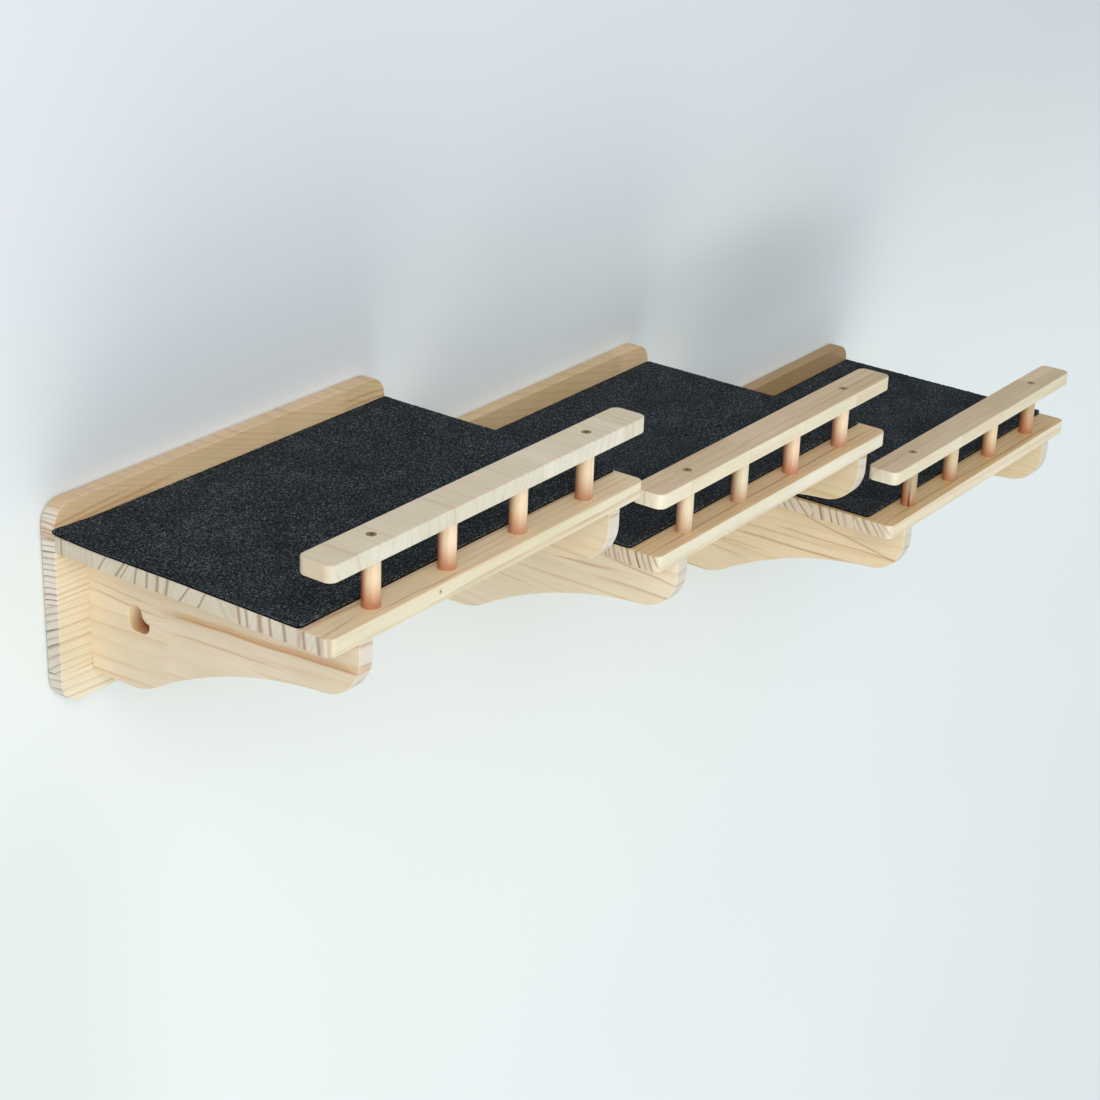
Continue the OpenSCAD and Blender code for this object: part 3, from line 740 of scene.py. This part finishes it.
for shelf in SHELVES:
    seed = SEEDS[shelf]
    planks = {
        "back_plate": ("XZY", {**PLATE_WOOD, "Seed": seed}),
        "deck": ("XYZ", {**DECK_WOOD, "Seed": 10 + seed}),
        "hand_rail": ("YXZ" if shelf == "upper" else "XYZ", {**RAIL_WOOD, "Seed": 20 + seed}),
        "left_bracket": ("YZX", {**BRACKET_WOOD, "Seed": 30 + seed, "butted": True}),
        "right_bracket": ("YZX", {**BRACKET_WOOD, "Seed": 35 + seed, "butted": True}),
    }
    for piece, (axes, wood) in planks.items():
        node = f"{shelf}_{piece}"
        board(node, axes, **{**wood, **SHELF_WOOD.get(node, {})})
    for i, colour in enumerate(DOWELS[shelf]):
        node = f"{shelf}_baluster_{i + 1}"
        wood = {**BALUSTER_WOOD, "Seed": 40 + 4 * seed + i, "early": colour, **SHELF_WOOD.get(node, {})}
        board(node, "ZXY", eased=0.0, **wood)


# Carpets and screws

# Matt black latex under the mats, and bright plating on the screws that are hidden
backing = mottled("latex_backing", "020202", 0.9, size=2.0)
zinc = mottled("zinc_plated_steel", "B4B8BB", 0.38, size=1.5, metallic=1.0)
ZINC_SCREWS = ("baluster_screws", "deck_screws", "bracket_screws", "seat_screws")
SCREW_HEAD_RADIUS = 4 * MM

for shelf in SHELVES:
    low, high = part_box(f"{shelf}_carpet")
    mat = carpet_mat(f"{shelf}_carpet_mat", low, high, 7 * SEEDS[shelf])
    mat.data.materials.append(needle_punch_carpet(f"{shelf}_needle_punch", SEEDS[shelf]))
    mat.data.materials.append(backing)
    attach(mat, "root")
    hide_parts(f"{shelf}_carpet")
    for piece in ZINC_SCREWS:
        dress(f"{shelf}_{piece}", zinc)
    # Brass with painted shade towards each head's rim, where the gap round the head is in shade
    low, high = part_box(f"{shelf}_rail_screws")
    rims = ((low + high) / 2, (high.x - low.x) / 2 - SCREW_HEAD_RADIUS, SCREW_HEAD_RADIUS, "3A2A14")
    brass = mottled(f"{shelf}_brass_with_rim_shade", "DCC290", 0.34, size=1.2, mottle=0.3, metallic=1.0, rims=rims)
    dress(f"{shelf}_rail_screws", brass)


# Wall and floor

# The wall's colour below and above, paler below and greyer blue above as painted light and shade,
# and the heights between which it changes
WALL_LOW, WALL_HIGH = "EEF3F0", "E3E5EA"
WALL_LOW_Z, WALL_HIGH_Z = -0.2, 0.5
# Painted shade: how much darker the wall is at the upper right and at the lower left
WALL_FALL_RIGHT, WALL_FALL_LEFT = 0.13, 0.09
# The shade between the middle and the lower shelf: its strength, its middle and its reach
WALL_SHADE = 0.13
SHADE_MIDDLE = (0.8, 0.0, 0.0)
SHADE_REACH = (0.28, 1.0, 0.075)
FLOOR_DROP = 2.6
WALL_REACH = 7.0
WALL_TOP = 4.0


def backdrop(name, corners):
    """A pale plane that shows only from its front, so that the shelves can be seen from behind too.

    It takes the shelves' shadow and gives them no light, so they look the same without it.
    """
    mesh = bpy.data.meshes.new(name)
    mesh.from_pydata(corners, [], [(0, 1, 2, 3)])
    plane = bpy.data.objects.new(name, mesh)
    bpy.context.scene.collection.objects.link(plane)
    material, tree = new_material(name + "_paint")
    place = add(tree, "TexCoord")["Object"]
    clouds = add(tree, "TexNoise", {"Vector": place, "Scale": 1.5, "Detail": 2.0})[0]
    level = add(tree, "MapRange", [clouds, 0.2, 0.8, 0.985, 1.015])[0]
    height = add(tree, "SeparateXYZ", [place])["Z"]
    up = add(tree, "MapRange", [height, WALL_LOW_Z, WALL_HIGH_Z, 0.0, 1.0],
             interpolation_type="SMOOTHSTEP")[0]
    shade = add(tree, "Mix", {0: up, 6: srgb(WALL_LOW), 7: srgb(WALL_HIGH)}, data_type="RGBA")[2]
    # Painted shade: darker towards the upper right, towards the lower left, and between the middle and the
    # lower shelf
    across = add(tree, "SeparateXYZ", [place])["X"]
    right = add(tree, "MapRange", [across, 0.5, 1.5, 0.0, WALL_FALL_RIGHT],
                interpolation_type="SMOOTHSTEP")[0]
    above = add(tree, "MapRange", [height, -0.5, 0.2, 0.0, 1.0], interpolation_type="SMOOTHSTEP")[0]
    level = add(tree, "Math", [level, add(tree, "Math", [right, above], operation="MULTIPLY")[0]],
                operation="SUBTRACT")[0]
    left = add(tree, "MapRange", [across, 0.0, -0.25, 0.0, WALL_FALL_LEFT],
               interpolation_type="SMOOTHSTEP")[0]
    below = add(tree, "MapRange", [height, 0.0, -0.3, 0.0, 1.0], interpolation_type="SMOOTHSTEP")[0]
    level = add(tree, "Math", [level, add(tree, "Math", [left, below], operation="MULTIPLY")[0]],
                operation="SUBTRACT")[0]
    spread = add(tree, "VectorMath", [place, SHADE_MIDDLE], operation="SUBTRACT")[0]
    spread = add(tree, "VectorMath", [spread, [1 / reach for reach in SHADE_REACH]],
                 operation="MULTIPLY")[0]
    spread = add(tree, "VectorMath", [spread], operation="LENGTH")["Value"]
    dim = add(tree, "MapRange", [spread, 1.3, 0.3, 0.0, WALL_SHADE], interpolation_type="SMOOTHSTEP")[0]
    level = add(tree, "Math", [level, dim], operation="SUBTRACT")[0]
    shade = add(tree, "VectorMath", {0: shade, "Scale": level}, operation="SCALE")[0]
    paint = add(tree, "BsdfDiffuse", {"Color": shade})[0]
    clear = add(tree, "BsdfTransparent")[0]
    behind = add(tree, "NewGeometry")["Backfacing"]
    both = add(tree, "MixShader", [behind, paint, clear])[0]
    add(tree, "OutputMaterial", [both])
    mesh.materials.append(material)
    plane.visible_diffuse = False
    plane.visible_glossy = False
    plane.visible_transmission = False
    plane.visible_shadow = False


backdrop("wall", [(-WALL_REACH, MM, -FLOOR_DROP), (WALL_REACH, MM, -FLOOR_DROP),
                  (WALL_REACH, MM, WALL_TOP), (-WALL_REACH, MM, WALL_TOP)])
backdrop("floor", [(-WALL_REACH, -WALL_REACH, -FLOOR_DROP), (WALL_REACH, -WALL_REACH, -FLOOR_DROP),
                   (WALL_REACH, MM, -FLOOR_DROP), (-WALL_REACH, MM, -FLOOR_DROP)])


# Light

SHELVES_CENTRE = Vector((0.43, -0.15, -0.1))
# The room's light from below and from above, and its share from behind the wall
ROOM_BELOW, ROOM_ABOVE, BEHIND_WALL = 0.88, 0.72, 0.3


def softbox(name, azimuth, elevation, distance, size, power, colour):
    """A square lamp that faces the shelves from degrees left of straight ahead and degrees up."""
    turn, rise = math.radians(azimuth), math.radians(elevation)
    out = Vector((-math.sin(turn) * math.cos(rise), -math.cos(turn) * math.cos(rise), math.sin(rise)))
    lamp = bpy.data.lights.new(name, "AREA")
    lamp.shape = "SQUARE"
    lamp.size = size
    lamp.energy = power
    lamp.color = srgb(colour)[:3]
    holder = bpy.data.objects.new(name, lamp)
    holder.location = SHELVES_CENTRE + out * distance
    holder.rotation_euler = (-out).to_track_quat("-Z", "Y").to_euler()
    bpy.context.scene.collection.objects.link(holder)


world = bpy.data.worlds.new("room_light")
bpy.context.scene.world = world
world.use_nodes = True
world.node_tree.nodes.clear()
towards = add(world.node_tree, "SeparateXYZ", [add(world.node_tree, "TexCoord")["Generated"]])
strength = add(world.node_tree, "MapRange", [towards["Z"], -0.5, 0.5, ROOM_BELOW, ROOM_ABOVE])[0]
from_wall = add(world.node_tree, "MapRange", [towards["Y"], 0.0, 0.8, 1.0, BEHIND_WALL])[0]
strength = add(world.node_tree, "Math", [strength, from_wall], operation="MULTIPLY")[0]
room = add(world.node_tree, "Background", {"Color": srgb("EDF5FF"), "Strength": strength})[0]
add(world.node_tree, "OutputWorld", [room])
softbox("low_front_light", azimuth=20, elevation=-37, distance=5.0, size=3.4, power=52.0, colour="FFFAE0")
softbox("left_fill", azimuth=45, elevation=32, distance=4.2, size=2.4, power=56.0, colour="FFFCF6")


# Camera: the photograph's own view, solved from its straight edges

CAMERA_PLACE = Vector((-1385.29, -1338.60, 832.71)) * MM
CAMERA_LOOK = Vector((0.741157, 0.530172, -0.411830))
CAMERA_ROLL = math.radians(2.168)
CAMERA_LENS = 79.93

level_right = CAMERA_LOOK.cross(Vector((0, 0, 1))).normalized()
level_up = level_right.cross(CAMERA_LOOK).normalized()
camera_right = level_right * math.cos(CAMERA_ROLL) + level_up * math.sin(CAMERA_ROLL)
camera_up = level_up * math.cos(CAMERA_ROLL) - level_right * math.sin(CAMERA_ROLL)
lens = bpy.data.cameras.new("camera")
lens.lens = CAMERA_LENS
lens.sensor_width = 36.0
lens.clip_start, lens.clip_end = 0.05, 50.0
camera = bpy.data.objects.new("camera", lens)
turned = Matrix((camera_right, camera_up, -CAMERA_LOOK)).transposed().to_4x4()
camera.matrix_world = Matrix.Translation(CAMERA_PLACE) @ turned
bpy.context.scene.collection.objects.link(camera)
bpy.context.scene.camera = camera

bpy.context.scene.view_settings.view_transform = "Standard"
